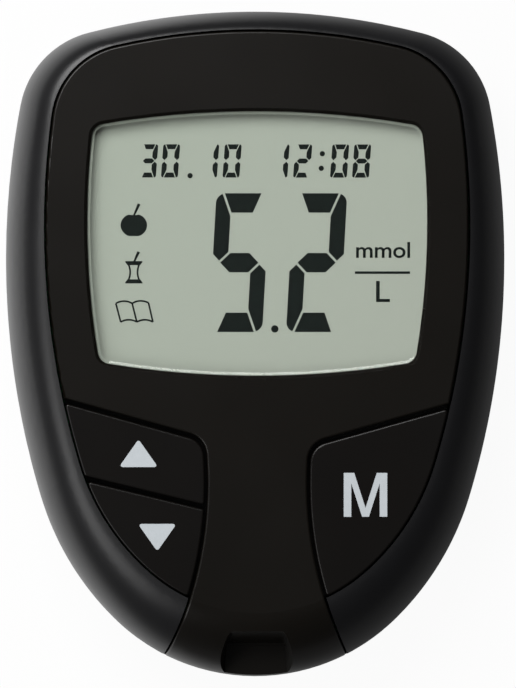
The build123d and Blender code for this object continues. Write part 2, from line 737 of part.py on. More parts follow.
def lens_gasket():
    """The ring of adhesive between the lens and the face plate."""
    ring = window(LENS_LAP) - window(GASKET_SETBACK)
    return slab(ring, LENS_TOP, LENS_TOP + GASKET_THICKNESS)


def glass_area(grow=0.0):
    """The display glass from above, its corners cut off, grown all round. The cut grows by
    less than the sides, so that the cut corners move out as far as they do."""
    width = WINDOW_WIDTH + 2 * (GLASS_LAP + grow)
    height = GLASS_TOP - GLASS_BOTTOM + 2 * grow
    area = Pos(0, (GLASS_TOP + GLASS_BOTTOM) / 2) * Rectangle(width, height)
    return chamfer(area.vertices(), GLASS_CORNER + grow * (2 - math.sqrt(2)))


def below_ledge(margin=0.0):
    """The half plane under the front glass's contact ledge."""
    y = GLASS_TOP - CONTACT_LEDGE - margin
    return Pos(0, y) * Rectangle(BEYOND * 2, BEYOND * 2, align=(Align.CENTER, Align.MAX))


def zebra_space(room=0.0):
    """The space of the contact strip between the board and the front glass."""
    half = WINDOW_WIDTH / 2 + GLASS_LAP - ZEBRA_SETBACK + room
    y = GLASS_TOP - CONTACT_LEDGE / 2
    depth = ZEBRA_THICKNESS / 2 + room
    return block((-half, half), (y - depth, y + depth), (BOARD_TOP, GLASS_MEETING))


def lcd_holder():
    """The frame that carries the display glass over the board."""
    frame = slab(glass_area(SNUG + HOLDER_WALL), BOARD_TOP, GLASS_FRONT)
    frame -= slab(glass_area(SNUG), REFLECTOR_REAR, GLASS_FRONT)
    hollow = glass_area(-HOLDER_LEDGE) & below_ledge(HOLDER_LEDGE)
    frame -= slab(hollow, BOARD_TOP, REFLECTOR_REAR)
    return frame - zebra_space(SNUG)


# --- Electronics ------------------------------------------------------------------------


def main_board():
    """The circuit board, clamped between the case's bosses."""
    board = slab(CASE.inset(REAR_WALL + BOARD_GAP).face(), BOARD_UNDERSIDE, BOARD_TOP)
    for spot in CASE_SCREWS + BOARD_SCREWS:
        board -= post(spot, SCREW_RADIUS + SCREW_CLEARANCE, BOARD_UNDERSIDE, BOARD_TOP)
    return board


def sheet(points, width, thickness, x):
    """A bent metal strip: its path in Y and Z made thick, centred on an X."""
    path = trace(Polyline(*points), line_width=thickness)
    return Pos(x, 0, 0) * extrude(Plane.YZ * path, width / 2, both=True)


def below_bay(spot):
    """A place given from the middle of the bay's front wall."""
    return spot[0], BAY_FRONT_Y + spot[1]


def hang(spot, size, height):
    """A block that hangs from the underside of the board."""
    x, y = spot
    half_x, half_y = size[0] / 2, size[1] / 2
    z = (BOARD_UNDERSIDE - height, BOARD_UNDERSIDE)
    return block((x - half_x, x + half_x), (y - half_y, y + half_y), z)


def microcontroller():
    """A square chip with a row of leads on each side."""
    middle = Pos(0, BAY_FRONT_Y - CHIP_BELOW_BAY)
    body = middle * Rectangle(CHIP_SIZE, CHIP_SIZE)
    body = chamfer(body.vertices(), CHIP_CORNER)
    low = BOARD_UNDERSIDE - CHIP_HEIGHT
    chip = slab(body, low, BOARD_UNDERSIDE - SNUG)
    lead = Pos((CHIP_SIZE + CHIP_HEIGHT) / 2, 0) * Rectangle(CHIP_HEIGHT, CHIP_LEAD_PITCH / 2)
    row = [Pos(0, (i - (CHIP_LEADS - 1) / 2) * CHIP_LEAD_PITCH) * lead for i in range(CHIP_LEADS)]
    for turn in (0, 90, 180, 270):
        leads = Sketch() + [middle * Rot(0, 0, turn) * place for place in row]
        chip += slab(leads, BOARD_UNDERSIDE - CONTACT_SHEET, BOARD_UNDERSIDE)
    return chip


def measuring_chip():
    """The chip that reads the test strip."""
    y = CONNECTOR_MOUTH + CONNECTOR_LENGTH + AMPLIFIER_PAST_CONNECTOR
    return hang((AMPLIFIER_X, y), (AMPLIFIER_SIZE, AMPLIFIER_SIZE), AMPLIFIER_HEIGHT)


def clock_crystal():
    """A tubular crystal lying against the board."""
    x, y = below_bay(CRYSTAL_SPOT)
    lying = Pos(x, y, BOARD_UNDERSIDE - CRYSTAL_RADIUS) * Rot(0, 90, 0)
    return lying * Cylinder(CRYSTAL_RADIUS, CRYSTAL_LENGTH)


def buzzer():
    """The round sounder, with its small sound hole."""
    low = BOARD_UNDERSIDE - BUZZER_HEIGHT
    spot = below_bay(BUZZER_SPOT)
    body = post(spot, BUZZER_RADIUS, low, BOARD_UNDERSIDE)
    body = chamfer(body.edges().group_by(Axis.Z)[0], EDGE_BREAK)
    return body - post(spot, BUZZER_HOLE_RADIUS, low, low + BUZZER_HOLE_DEPTH)


def chip_passives():
    """A small field of resistors and capacitors."""
    chips = Part()
    for i in range(PASSIVE_COLUMNS):
        for j in range(PASSIVE_ROWS):
            x = (i - (PASSIVE_COLUMNS - 1) / 2) * PASSIVE_PITCH
            y = (j - (PASSIVE_ROWS - 1) / 2) * PASSIVE_PITCH
            spot = below_bay((PASSIVE_SPOT[0] + x, PASSIVE_SPOT[1] + y))
            chips += hang(spot, PASSIVE_SIZE[:2], PASSIVE_SIZE[2])
    return chips


def strip_connector():
    """The socket that a test strip slides into, right behind the port's wall."""
    half = STRIP_WIDTH / 2 + 2 * SNUG + CONNECTOR_SIDE
    top = PORT_FLOOR + SNUG + STRIP_SLOT_HEIGHT + RIB_WALL
    y = (CONNECTOR_MOUTH, CONNECTOR_MOUTH + CONNECTOR_LENGTH)
    return block((-half, half), y, (BOARD_TOP, top)) - strip_slot(y)


def strip_contacts():
    """The fingers that touch the strip, each bent down to the board behind the socket."""
    back = CONNECTOR_MOUTH + CONNECTOR_LENGTH + CONTACT_SHEET
    high = PORT_FLOOR + SNUG + CONTACT_SHEET / 2
    low = BOARD_TOP + CONTACT_SHEET / 2
    tip = (CONNECTOR_MOUTH + CONNECTOR_SIDE, high)
    path = [tip, (back, high), (back, low), (back + FINGER_FOOT, low)]
    contacts = Part()
    for i in range(FINGER_COUNT):
        x = (i - (FINGER_COUNT - 1) / 2) * FINGER_PITCH
        contacts += sheet(path, FINGER_WIDTH, CONTACT_SHEET, x)
    return contacts


def jack_tube(radius, low, high):
    """A cylinder along the jack's axis, between two X coordinates."""
    z = BOARD_UNDERSIDE - JACK_HEIGHT / 2
    start = Pos(low, JACK_Y, z) * Rot(0, 90, 0)
    return start * Cylinder(radius, high - low, align=(Align.CENTER, Align.CENTER, Align.MIN))


def data_jack():
    """The socket for a data plug. Its collar stands in a hole in the rear cover."""
    half = JACK_WIDTH / 2
    z = (BOARD_UNDERSIDE - JACK_HEIGHT, BOARD_UNDERSIDE)
    jack = block((JACK_FACE, JACK_FACE + JACK_LENGTH), (JACK_Y - half, JACK_Y + half), z)
    mouth = JACK_FACE - JACK_COLLAR_LENGTH
    jack += jack_tube(JACK_COLLAR_RADIUS, mouth, JACK_FACE)
    return jack - jack_tube(JACK_BORE_RADIUS, mouth, mouth + JACK_BORE_DEPTH)


def jack_contacts():
    """The jack's solder tails, flat on the board."""
    tails = Part()
    end = JACK_FACE + JACK_LENGTH
    z = (BOARD_UNDERSIDE - CONTACT_SHEET, BOARD_UNDERSIDE)
    for i in range(TAIL_COUNT):
        y = JACK_Y + (i - (TAIL_COUNT - 1) / 2) * TAIL_PITCH
        tails += block((end, end + TAIL_LENGTH), (y - TAIL_WIDTH / 2, y + TAIL_WIDTH / 2), z)
    return tails


def coin_cell(spot):
    """A coin cell, its wide can towards the battery cover."""
    wide = CELL_DIAMETER / 2
    shoulder = CELL_TOP - CELL_CAP_HEIGHT
    can = post(spot, wide, CELL_FLOOR, shoulder)
    can = fillet(can.edges().group_by(Axis.Z)[0] + can.edges().group_by(Axis.Z)[-1], EDGE_BREAK)
    return can + post(spot, CELL_CAP_DIAMETER / 2, shoulder, CELL_TOP)


def cell_contact_path(pole):
    """The path of a cell contact in Y and Z, from the cell up to the board."""
    half = CONTACT_SHEET / 2
    high = BOARD_UNDERSIDE - half
    if pole == "positive":
        y = CELL_Y - CELL_DIAMETER / 2 - SNUG / 2 - half
        return [(y, CELL_FLOOR + CELL_HEIGHT / 2), (y, high), (y - CONTACT_FOOT, high)]
    back = CELL_Y + CELL_CAP_DIAMETER / 2 - CONTACT_FOOT
    low = CELL_TOP + half
    return [
        (CELL_Y - CONTACT_FOOT, low),
        (CELL_Y, low),
        (back - CONTACT_FOOT, BAY_CEILING - half),
        (back, BAY_CEILING - half),
        (back, high),
        (back + CONTACT_FOOT, high),
    ]


def contact_slots(spot):
    """The holes in the bay for one cell's two contacts."""
    half = CONTACT_WIDTH / 2 + SNUG
    x = (spot[0] - half, spot[0] + half)
    slots = Part()
    for pole, place in (("positive", 0), ("negative", 3)):
        y = cell_contact_path(pole)[place][0]
        slots += block(x, (y - 2 * SNUG, y + 2 * SNUG), (FLANGE_TOP, BAY_ROOF))
    return slots


def cell_contacts(pole):
    """Both cells' contacts for one pole."""
    contacts = Part()
    for x, _ in CELLS:
        contacts += sheet(cell_contact_path(pole), CONTACT_WIDTH, CONTACT_SHEET, x)
    return contacts


def screws(spots, seat, length, head_height):
    """Screws put in from below, their heads against a seat."""
    group = Part()
    for spot in spots:
        head = post(spot, SCREW_HEAD_RADIUS, seat - head_height, seat)
        head = chamfer(head.edges().group_by(Axis.Z)[0], EDGE_BREAK)
        group += head + post(spot, SCREW_RADIUS, seat, seat + length)
    return group


def build():
    """Every piece of the meter, by name."""
    pieces = {
        "front_housing": front_housing(),
        "side_frame": side_frame(),
        "rear_cover": rear_cover(),
        "battery_cover": battery_cover(),
        "display_lens": display_lens(),
        "lens_gasket": lens_gasket(),
        "lcd_glass_front": slab(glass_area(), GLASS_MEETING, GLASS_FRONT),
        "lcd_glass_rear": slab(glass_area() & below_ledge(), GLASS_REAR, GLASS_MEETING),
        "lcd_reflector": slab(glass_area() & below_ledge(), REFLECTOR_REAR, GLASS_REAR),
        "lcd_holder": lcd_holder(),
        "zebra_strip": zebra_space(),
        "main_board": main_board(),
        "microcontroller": microcontroller(),
        "measuring_chip": measuring_chip(),
        "clock_crystal": clock_crystal(),
        "chip_passives": chip_passives(),
        "temperature_sensor": hang(below_bay(SENSOR_SPOT), SENSOR_SIZE[:2], SENSOR_SIZE[2]),
        "buzzer": buzzer(),
        "strip_connector": strip_connector(),
        "strip_contacts": strip_contacts(),
        "data_jack": data_jack(),
        "jack_contacts": jack_contacts(),
        "coin_cell_left": coin_cell(CELLS[0]),
        "coin_cell_right": coin_cell(CELLS[1]),
        "cell_contacts_positive": cell_contacts("positive"),
        "cell_contacts_negative": cell_contacts("negative"),
        "case_screws": screws(CASE_SCREWS, CASE_SCREW_SEAT, SCREW_LENGTH, SCREW_HEAD_HEIGHT),
        "board_screws": screws(
            BOARD_SCREWS, BOARD_UNDERSIDE, BOARD_SCREW_LENGTH, BOARD_HEAD_HEIGHT
        ),
    }
    for name in KEY_SIDES:
        pieces[f"button_{name}"] = key(name)
        pieces[f"snap_dome_{name}"] = snap_dome(name)
    return pieces


if __name__ == "__main__":
    os.makedirs("parts", exist_ok=True)
    for node, piece in build().items():
        export_step(piece, f"parts/{node}.step")
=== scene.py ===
# %% [markdown]
# # A blood glucose meter
#
# This lesson dresses a finished construction: a handheld meter with a black moulded
# case, a grey-green liquid crystal display under a clear window, three keys that spring
# back and a slot for test strips. The construction gives every piece its place and
# size, so what is left is what the eye reads: plastics, glass, metal, printed signs
# and the picture on the display.

import json
import math

import bpy
from mathutils import Matrix, Vector

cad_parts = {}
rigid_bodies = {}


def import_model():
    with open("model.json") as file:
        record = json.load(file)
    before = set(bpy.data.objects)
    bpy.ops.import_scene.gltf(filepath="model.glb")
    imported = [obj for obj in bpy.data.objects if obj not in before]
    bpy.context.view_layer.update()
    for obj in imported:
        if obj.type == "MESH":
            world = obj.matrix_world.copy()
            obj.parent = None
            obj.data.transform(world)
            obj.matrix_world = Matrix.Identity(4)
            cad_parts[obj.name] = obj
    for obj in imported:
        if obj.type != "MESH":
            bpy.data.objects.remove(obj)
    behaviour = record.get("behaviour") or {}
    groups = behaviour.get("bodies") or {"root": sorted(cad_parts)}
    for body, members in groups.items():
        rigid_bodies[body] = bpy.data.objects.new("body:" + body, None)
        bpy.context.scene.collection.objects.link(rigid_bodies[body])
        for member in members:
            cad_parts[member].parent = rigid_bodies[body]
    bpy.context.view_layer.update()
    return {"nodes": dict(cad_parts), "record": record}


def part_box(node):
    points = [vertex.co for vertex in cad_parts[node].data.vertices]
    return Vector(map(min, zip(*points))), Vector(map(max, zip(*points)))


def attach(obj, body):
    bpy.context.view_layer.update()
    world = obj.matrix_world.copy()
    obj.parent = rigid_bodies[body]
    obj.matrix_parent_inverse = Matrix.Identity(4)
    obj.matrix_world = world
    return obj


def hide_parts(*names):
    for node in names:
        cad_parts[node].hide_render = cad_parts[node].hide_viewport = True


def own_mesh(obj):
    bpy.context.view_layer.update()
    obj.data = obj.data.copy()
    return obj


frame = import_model()
nodes = frame["nodes"]
MM = 0.001
print("pieces loaded:", len(nodes))

# %% [markdown]
# ## Two helpers for materials
#
# Colours are written as hex codes, the way a paint shop or a web page gives them, but a
# renderer works with linear light, so one function converts them. A second function
# adds a shader node with its settings and links in one call. Without it each node takes
# five lines, and a material's idea gets lost among them.

# %% Colour and node helpers
def linear(code):
    """The linear colour of a hex code."""
    shares = [int(code[i : i + 2], 16) / 255 for i in (1, 3, 5)]
    light = [c / 12.92 if c <= 0.04045 else ((c + 0.055) / 1.055) ** 2.4 for c in shares]
    return (*light, 1.0)


def add(tree, kind, values=None, links=None, **settings):
    """A node with its settings, the values of its sockets and what is linked into them."""
    made = tree.nodes.new(kind)
    for name, value in settings.items():
        setattr(made, name, value)
    for socket, value in (values or {}).items():
        made.inputs[socket].default_value = value
    for socket, source in (links or {}).items():
        tree.links.new(source, made.inputs[socket])
    return made


def blank(name):
    """A material with an empty tree and its output node."""
    material = bpy.data.materials.new(name)
    material.use_nodes = True
    tree = material.node_tree
    tree.nodes.clear()
    return material, tree, tree.nodes.new("ShaderNodeOutputMaterial")


def per_metre(pitch_mm):
    """The noise scale that repeats about once in this many millimetres."""
    return 1 / (pitch_mm * MM)


print("mid grey #808080 is", round(linear("#808080")[0], 3), "in linear light")

# %% [markdown]
# ## Moulded plastic
#
# A case like this is injection moulded from ABS blended with polycarbonate. The mould
# is spark eroded, which leaves a fine even grain that breaks up a reflection, and where
# hands rub it the grain is polished a little. So the grain is a bump, the rubbing is a
# slow change of roughness, and the colour hardly changes at all. One function makes all
# the moulded pieces, because they differ only in shade, grain and shine.
#
# Real grain here is about 0.05 mm, too fine to show at this distance, so it is drawn at
# a few times that. The change of roughness is kept small and slow, because a strong one
# reads as dirt as soon as the flat face mirrors something bright.

# %% Moulded plastic
CLOUD_MM = 9  # the size of a patch that is a shade darker or paler
RUB_MM = 12  # the size of a patch that is rubbed smoother
SMOOTHER, ROUGHER = -0.015, 0.02  # how far rubbing changes the roughness


def moulded(name, dark, pale, roughness, grain_mm, grain_depth_mm, shine):
    """A moulded plastic: two close shades, a rubbed roughness and a fine grain."""
    material, tree, output = blank(name)
    place = add(tree, "ShaderNodeTexCoord").outputs["Object"]
    cloud = add(
        tree,
        "ShaderNodeTexNoise",
        {"Scale": per_metre(CLOUD_MM), "Detail": 4.0},
        {"Vector": place},
    )
    shade = add(
        tree,
        "ShaderNodeMix",
        {6: linear(dark), 7: linear(pale)},
        {0: cloud.outputs["Fac"]},
        data_type="RGBA",
    )
    rub = add(
        tree,
        "ShaderNodeTexNoise",
        {"Scale": per_metre(RUB_MM), "Detail": 1.0},
        {"Vector": place},
    )
    sheen = add(
        tree,
        "ShaderNodeMapRange",
        {
            "From Min": 0.2,
            "From Max": 0.8,
            "To Min": roughness + SMOOTHER,
            "To Max": roughness + ROUGHER,
        },
        {"Value": rub.outputs["Fac"]},
    )
    grain = add(
        tree,
        "ShaderNodeTexNoise",
        {"Scale": per_metre(grain_mm), "Detail": 2.0},
        {"Vector": place},
    )
    bump = add(
        tree,
        "ShaderNodeBump",
        {"Strength": 0.5, "Distance": grain_depth_mm * MM},
        {"Height": grain.outputs["Fac"]},
    )
    skin = add(
        tree,
        "ShaderNodeBsdfPrincipled",
        {"IOR": 1.52, "Specular IOR Level": shine},
        {
            "Base Color": shade.outputs[2],
            "Roughness": sheen.outputs["Result"],
            "Normal": bump.outputs["Normal"],
        },
    )
    tree.links.new(skin.outputs["BSDF"], output.inputs["Surface"])
    return material


print("rubbing changes the roughness by", SMOOTHER, "to", ROUGHER)

# %% The moulded finishes
# Each has its material's name, two shades, the roughness, the grain's size and depth in
# millimetres, and the specular level.
MOULDINGS = {
    "housing_plastic": ("spark_eroded_ABS_face", "#0e0c09", "#13100c", 0.28, 0.22, 0.006, 0.3),
    "frame_plastic": ("satin_ABS_rim", "#0e0e10", "#131315", 0.36, 0.3, 0.005, 0.5),
    "back_plastic": ("coarse_textured_ABS_back", "#151517", "#1b1b1d", 0.55, 0.35, 0.02, 0.5),
    "key_plastic": ("satin_ABS_keys", "#0c0b0a", "#110e0c", 0.28, 0.25, 0.005, 0.25),
    "holder_plastic": ("white_polycarbonate_holder", "#dcdcd6", "#e6e6e0", 0.5, 0.3, 0.006, 0.5),
    "chip_black": ("epoxy_chip_package", "#141416", "#1c1c1f", 0.6, 0.12, 0.01, 0.5),
    "socket_plastic": ("glass_filled_nylon_socket", "#121213", "#18181a", 0.5, 0.2, 0.01, 0.5),
    "zebra_rubber": ("conductive_silicone_rubber", "#2c2c2e", "#3a3a3c", 0.7, 0.2, 0.01, 0.5),
    "adhesive": ("black_adhesive_foam", "#0e0e0f", "#151516", 0.85, 0.15, 0.02, 0.5),
}
FINISHES = {slot: moulded(*facts) for slot, facts in MOULDINGS.items()}
print("moulded finishes:", len(FINISHES))

# %% [markdown]
# ## Metals
#
# The metals here are thin pressed or turned parts: nickel plated cell cans, zinc plated
# screws, spring contacts. Rolling and turning leave fine lines along one direction, so
# the noise is stretched: squeezed across the lines and drawn out along them. A metal
# gets its colour from its reflection, so its base colour is pale and metallic is full.

# %% Metals
LINE_DEPTH = 0.004 * MM
SHINIER, DULLER = -0.06, 0.08  # how far the lines change the roughness


def metal(name, dark, pale, roughness, line_mm, stretch):
    """A rolled or turned metal with fine lines along X."""
    material, tree, output = blank(name)
    place = add(tree, "ShaderNodeTexCoord").outputs["Object"]
    along = add(
        tree,
        "ShaderNodeMapping",
        {"Scale": (1 / stretch, 1.0, 1.0)},
        {"Vector": place},
    )
    lines = add(
        tree,
        "ShaderNodeTexNoise",
        {"Scale": per_metre(line_mm), "Detail": 5.0},
        {"Vector": along.outputs["Vector"]},
    )
    shade = add(
        tree,
        "ShaderNodeMix",
        {6: linear(dark), 7: linear(pale)},
        {0: lines.outputs["Fac"]},
        data_type="RGBA",
    )
    sheen = add(
        tree,
        "ShaderNodeMapRange",
        {"To Min": roughness + SHINIER, "To Max": roughness + DULLER},
        {"Value": lines.outputs["Fac"]},
    )
    bump = add(
        tree,
        "ShaderNodeBump",
        {"Strength": 0.3, "Distance": LINE_DEPTH},
        {"Height": lines.outputs["Fac"]},
    )
    skin = add(
        tree,
        "ShaderNodeBsdfPrincipled",
        {"Metallic": 1.0},
        {
            "Base Color": shade.outputs[2],
            "Roughness": sheen.outputs["Result"],
            "Normal": bump.outputs["Normal"],
        },
    )
    tree.links.new(skin.outputs["BSDF"], output.inputs["Surface"])
    return material


print("lines change the roughness by", SHINIER, "to", DULLER)

# %% The metal finishes
# Each has its material's name, two shades, the roughness, the width of a line in
# millimetres and how many times longer it is than wide.
METALS = {
    "cell_steel": ("nickel_plated_steel", "#b9b9b8", "#d0d0ce", 0.28, 0.2, 12),
    "screw_steel": ("zinc_plated_steel", "#a8aaad", "#c2c4c6", 0.32, 0.15, 4),
    "dome_steel": ("stainless_spring_steel", "#b4b5b6", "#cccccd", 0.25, 0.15, 12),
    "contact_metal": ("gold_plated_spring_bronze", "#c9a55a", "#dcbd77", 0.3, 0.12, 12),
    "crystal_can": ("drawn_nickel_silver_can", "#bfbfbb", "#d2d2cd", 0.3, 0.12, 12),
    "reflector_foil": ("matt_aluminium_foil", "#b3b8ab", "#c3c8bb", 0.55, 0.3, 2),
}
FINISHES |= {slot: metal(*facts) for slot, facts in METALS.items()}
print("finishes so far:", len(FINISHES))

# %% [markdown]
# ## Circuit board
#
# The board is glass fibre laminate under green solder resist. The resist is glossy and
# lies over copper tracks, which show as paler lines. A brick pattern with thin mortar
# stands for the tracks: it gives runs that turn at right angles, which a plain noise
# doesn't.

# %% Circuit board
TRACK_PITCH_MM = 2.4
RESIST_STEP = 0.02 * MM  # how far the resist rises over a track


def solder_resist():
    """Green resist over paler copper tracks."""
    material, tree, output = blank("green_solder_resist")
    place = add(tree, "ShaderNodeTexCoord").outputs["Object"]
    tracks = add(
        tree,
        "ShaderNodeTexBrick",
        {
            "Color1": linear("#0b3a20"),
            "Color2": linear("#0e4426"),
            "Mortar": linear("#1f6a3c"),
            "Scale": per_metre(TRACK_PITCH_MM),
            "Mortar Size": 0.05,
        },
        {"Vector": place},
    )
    bump = add(
        tree,
        "ShaderNodeBump",
        {"Strength": 0.4, "Distance": RESIST_STEP},
        {"Height": tracks.outputs["Fac"]},
    )
    skin = add(
        tree,
        "ShaderNodeBsdfPrincipled",
        {"Roughness": 0.3, "IOR": 1.5},
        {"Base Color": tracks.outputs["Color"], "Normal": bump.outputs["Normal"]},
    )
    tree.links.new(skin.outputs["BSDF"], output.inputs["Surface"])
    return material


FINISHES["board"] = solder_resist()
print("tracks every", TRACK_PITCH_MM, "mm")

# %% [markdown]
# ## Window and display glass
#
# The window is clear acrylic. Real lamps shine through it, but a path tracer finds
# that hard, so shadow rays see a plain transparent surface instead, and the display
# under it is lit cleanly. The eye still gets the acrylic's gloss and refraction.
#
# The display's front glass carries a polarising film with a matt face. What one sees of
# a switched-off area is that film over the silvery reflector: a soft grey-green with a
# very fine speckle from the film, and a painted shade that darkens it towards the upper left.

# %% Clear acrylic
HAZE_MM = 6  # the size of a patch that is a little less polished


def clear_acrylic():
    """Acrylic that lets the lamps' light through."""
    material, tree, output = blank("clear_acrylic")
    place = add(tree, "ShaderNodeTexCoord").outputs["Object"]
    haze = add(
        tree,
        "ShaderNodeTexNoise",
        {"Scale": per_metre(HAZE_MM), "Detail": 3.0},
        {"Vector": place},
    )
    sheen = add(
        tree,
        "ShaderNodeMapRange",
        {"To Min": 0.01, "To Max": 0.05},
        {"Value": haze.outputs["Fac"]},
    )
    skin = add(
        tree,
        "ShaderNodeBsdfPrincipled",
        {"Base Color": linear("#fbfdfb"), "Transmission Weight": 1.0, "IOR": 1.49},
        {"Roughness": sheen.outputs["Result"]},
    )
    clear = add(tree, "ShaderNodeBsdfTransparent")
    ray = add(tree, "ShaderNodeLightPath")
    either = add(
        tree,
        "ShaderNodeMath",
        links={0: ray.outputs["Is Shadow Ray"], 1: ray.outputs["Is Diffuse Ray"]},
        operation="MAXIMUM",
    )
    mix = add(
        tree,
        "ShaderNodeMixShader",
        links={
            0: either.outputs["Value"],
            1: skin.outputs["BSDF"],
            2: clear.outputs["BSDF"],
        },
    )
    tree.links.new(mix.outputs["Shader"], output.inputs["Surface"])
    return material


FINISHES["lens"] = clear_acrylic()
print("finishes so far:", len(FINISHES))

# %% Polarising film
SHADE_SLOPE_MM = 50  # how far the painted shade takes to turn from darker to paler
SHADE_SLOPE_TURN = math.radians(40)
SHADE_SLOPE_MIDDLE = 0.5  # how much of the paler shade the meter's middle has
SPECKLE_MM = 0.15


def polariser_and_painted_shade():
    """The grey-green face of the display, with a painted shade that darkens it towards the upper
    left.
    """
    material, tree, output = blank("matt_polarising_film_and_painted_shade")
    place = add(tree, "ShaderNodeTexCoord").outputs["Object"]
    turned = add(
        tree,
        "ShaderNodeMapping",
        {
            "Location": (SHADE_SLOPE_MIDDLE, 0.0, 0.0),
            "Rotation": (0.0, 0.0, SHADE_SLOPE_TURN),
            "Scale": (per_metre(SHADE_SLOPE_MM),) * 3,
        },
        {"Vector": place},
    )
    # painted shade: the display is drawn darker towards the upper left and paler towards the
    # lower right
    painted_shade_slope = add(tree, "ShaderNodeTexGradient", links={"Vector": turned.outputs["Vector"]})
    shade = add(
        tree,
        "ShaderNodeMix",
        {6: linear("#b3bbae"), 7: linear("#bac0b4")},
        {0: painted_shade_slope.outputs["Fac"]},
        data_type="RGBA",
    )
    speckle = add(
        tree,
        "ShaderNodeTexNoise",
        {"Scale": per_metre(SPECKLE_MM), "Detail": 2.0},
        {"Vector": place},
    )
    faint = add(
        tree,
        "ShaderNodeMapRange",
        {"To Min": 0.97, "To Max": 1.03},
        {"Value": speckle.outputs["Fac"]},
    )
    film = add(
        tree,
        "ShaderNodeVectorMath",
        links={0: shade.outputs[2], "Scale": faint.outputs["Result"]},
        operation="SCALE",
    )
    skin = add(
        tree,
        "ShaderNodeBsdfPrincipled",
        {"Roughness": 0.6, "Specular IOR Level": 0.3},
        {"Base Color": film.outputs["Vector"]},
    )
    tree.links.new(skin.outputs["BSDF"], output.inputs["Surface"])
    return material


FINISHES["lcd_glass"] = polariser_and_painted_shade()
print("finishes in all:", len(FINISHES))

# %% [markdown]
# ## Dressing the construction
#
# Every piece of the construction names the slot that its finish comes from, so a loop
# dresses them all. Pieces that share a slot share one material, as pieces moulded from
# one batch of plastic do.

# %% Dress the construction
for part in frame["record"]["subparts"]:
    node = nodes[part["node"]]
    node.data.materials.clear()
    node.data.materials.append(FINISHES[part["material_slot"]])

# %% [markdown]
# ## Modelling flat signs
#
# The display's picture and the signs on the keys are flat shapes. Each starts as a
# plane of the right size, is cut to its outline with the bisect tool, and is given a
# hair's thickness. A curve with the outline typed in point by point would work too, but
# a cut says what the shape is: a bar with two mitred ends.
#
# Signs are drawn a thousand times too large, one unit for each millimetre, and shrunk
# when they are set in place. Bevel and bisect treat points closer than a few hundredths
# of a millimetre as one, so at true size small corners would collapse.

# %% Modelling helpers
def deselect():
    """Nothing selected, so that the next operator acts on its own piece alone."""
    for each in bpy.context.view_layer.objects:
        each.select_set(False)


def work_on(piece):
    """Makes a piece the one that operators act on."""
    deselect()
    piece.select_set(True)
    bpy.context.view_layer.objects.active = piece


def plate(name, x, y):
    """A flat plate between pairs of coordinates, in millimetres, at zero height."""
    deselect()
    bpy.ops.mesh.primitive_plane_add(size=1)
    piece = bpy.context.object
    piece.name = name
    piece.scale = (x[1] - x[0], y[1] - y[0], 1)
    piece.location = ((x[0] + x[1]) / 2, (y[0] + y[1]) / 2, 0)
    bpy.ops.object.transform_apply(location=True, rotation=True, scale=True)
    return piece


def cut(piece, point, away):
    """Cuts off what lies beyond a line through a point, on the side it faces away to. The
    direction has length one, because bisect clips each of its parts at one."""
    away = Vector(away).normalized()
    work_on(piece)
    bpy.ops.object.mode_set(mode="EDIT")
    bpy.ops.mesh.select_all(action="SELECT")
    bpy.ops.mesh.bisect(
        plane_co=(point[0], point[1], 0),
        plane_no=(away[0], away[1], 0),
        clear_outer=True,
        threshold=1e-4,
    )
    bpy.ops.object.mode_set(mode="OBJECT")


def pick(piece, spot, count=1):
    """Selects the points of a piece that lie nearest to a spot, and opens it for editing."""
    work_on(piece)
    bpy.ops.object.mode_set(mode="EDIT")
    bpy.ops.mesh.select_mode(type="VERT")
    bpy.ops.mesh.select_all(action="DESELECT")
    bpy.ops.object.mode_set(mode="OBJECT")
    middle = Vector((spot[0], spot[1], 0))
    nearest = sorted(piece.data.vertices, key=lambda v: (v.co - middle).length)
    for v in nearest[:count]:
        v.select = True
    bpy.ops.object.mode_set(mode="EDIT")


def round_corner(piece, near, setback):
    """Rounds the corner of a flat plate that is nearest to a spot. The curve begins at the
    setback from it."""
    pick(piece, near)
    bpy.ops.mesh.bevel(offset=setback, segments=8, affect="VERTICES")
    bpy.ops.object.mode_set(mode="OBJECT")


# %% Solids from flat pieces
def thicken(piece, thickness):
    """A flat piece made a solid that stands on zero height."""
    work_on(piece)
    bpy.ops.object.mode_set(mode="EDIT")
    bpy.ops.mesh.select_all(action="SELECT")
    bpy.ops.mesh.extrude_region_move(TRANSFORM_OT_translate={"value": (0, 0, thickness)})
    bpy.ops.mesh.select_all(action="SELECT")
    bpy.ops.mesh.normals_make_consistent(inside=False)
    bpy.ops.object.mode_set(mode="OBJECT")
    return piece


def join(name, pieces):
    """Separate pieces in one object."""
    work_on(pieces[0])
    for each in pieces:
        each.select_set(True)
    bpy.ops.object.join()
    bpy.context.object.name = name
    return bpy.context.object


def combine(piece, tool, operation):
    """Changes a solid with another one, which is used up."""
    change = piece.modifiers.new("change", "BOOLEAN")
    change.operation = operation
    change.object = tool
    work_on(piece)
    bpy.ops.object.modifier_apply(modifier=change.name)
    bpy.data.objects.remove(tool)


def weld(name, pieces):
    """Solids that overlap united into one, with nothing left inside."""
    for each in pieces[1:]:
        combine(pieces[0], each, "UNION")
    pieces[0].name = name
    return pieces[0]


def settle(piece, base, material, body):
    """Shrinks a sign to its true size, sets it on a height and dresses it."""
    piece.data.transform(Matrix.Translation((0, 0, base)) @ Matrix.Scale(MM, 4))
    piece.data.materials.clear()
    piece.data.materials.append(material)
    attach(piece, body)
    return piece


# %% [markdown]
# ## The display's digits
#
# Each digit is made of seven bars. The upright bars end in points and the level ones in
# mitres, so that neighbours meet along a slanted gap, the outer corners are rounded, and
# the whole digit leans a few degrees. One function makes any bar at any size, so the
# large reading and the small date and time come from the same rules.

